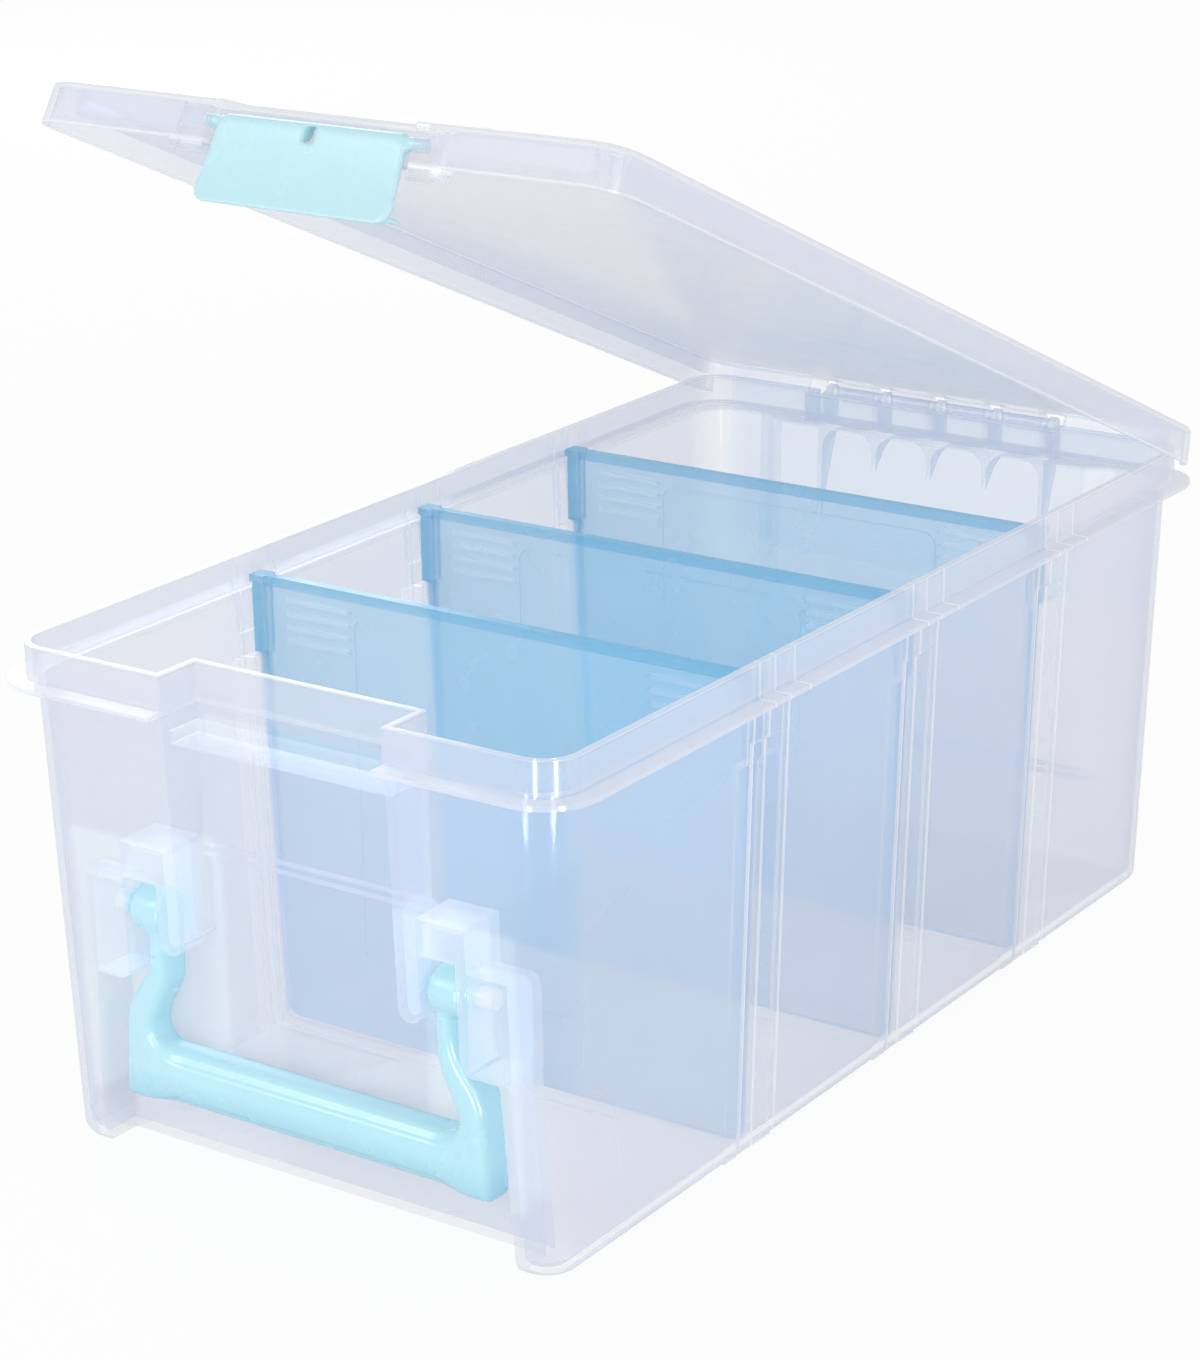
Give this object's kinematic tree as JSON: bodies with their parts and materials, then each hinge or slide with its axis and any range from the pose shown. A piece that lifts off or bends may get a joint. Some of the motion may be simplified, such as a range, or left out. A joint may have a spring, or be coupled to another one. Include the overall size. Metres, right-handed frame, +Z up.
{
  "type": "plastic storage satchel",
  "caption": "Clear drafted storage case with a rear-hinged lid, front latch, swinging carry handle and upright dividers that lift out.",
  "frame": {"origin": "centre of the tub's footprint on the surface it stands on", "axes": "+X across the width, +Y along the length from the latch end to the hinge end, +Z up"},
  "size_m": [0.2076, 0.3908, 0.3197],
  "materials": {
    "clear_shell": "clear, lightly frosted moulded polypropylene",
    "aqua": "smooth moulded plastic, slightly translucent",
    "blue_tint": "translucent tinted moulded plastic"
  },
  "bodies": {
    "base": {"base": "clear_shell"},
    "lid": {"lid": "clear_shell"},
    "latch": {"latch": "aqua"},
    "handle": {"handle": "aqua"},
    "divider_front": {"divider_front": "blue_tint"},
    "divider_middle": {"divider_middle": "blue_tint"},
    "divider_rear": {"divider_rear": "blue_tint"}
  },
  "joints": [
    {"name": "lid_hinge", "type": "hinge", "parent": "base", "child": "lid", "pos_m": [0, 0.19207, 0.15824], "axis": [-1, 0, 0], "range_deg": [-24, 76]},
    {"name": "latch_hinge", "type": "hinge", "parent": "lid", "child": "latch", "pos_m": [0, -0.15859, 0.31344], "axis": [-1, 0, 0], "range_deg": [0, 100]},
    {"name": "handle_hinge", "type": "hinge", "parent": "base", "child": "handle", "pos_m": [0, -0.1785, 0.081], "axis": [-1, 0, 0], "range_deg": [0, 110]},
    {"name": "divider_front_lift", "type": "slide", "parent": "base", "child": "divider_front", "axis": [0, 0, 1], "range_m": [0, 0.12]},
    {"name": "divider_middle_lift", "type": "slide", "parent": "base", "child": "divider_middle", "axis": [0, 0, 1], "range_m": [0, 0.08]},
    {"name": "divider_rear_lift", "type": "slide", "parent": "base", "child": "divider_rear", "axis": [0, 0, 1], "range_m": [0, 0.04]}
  ]
}
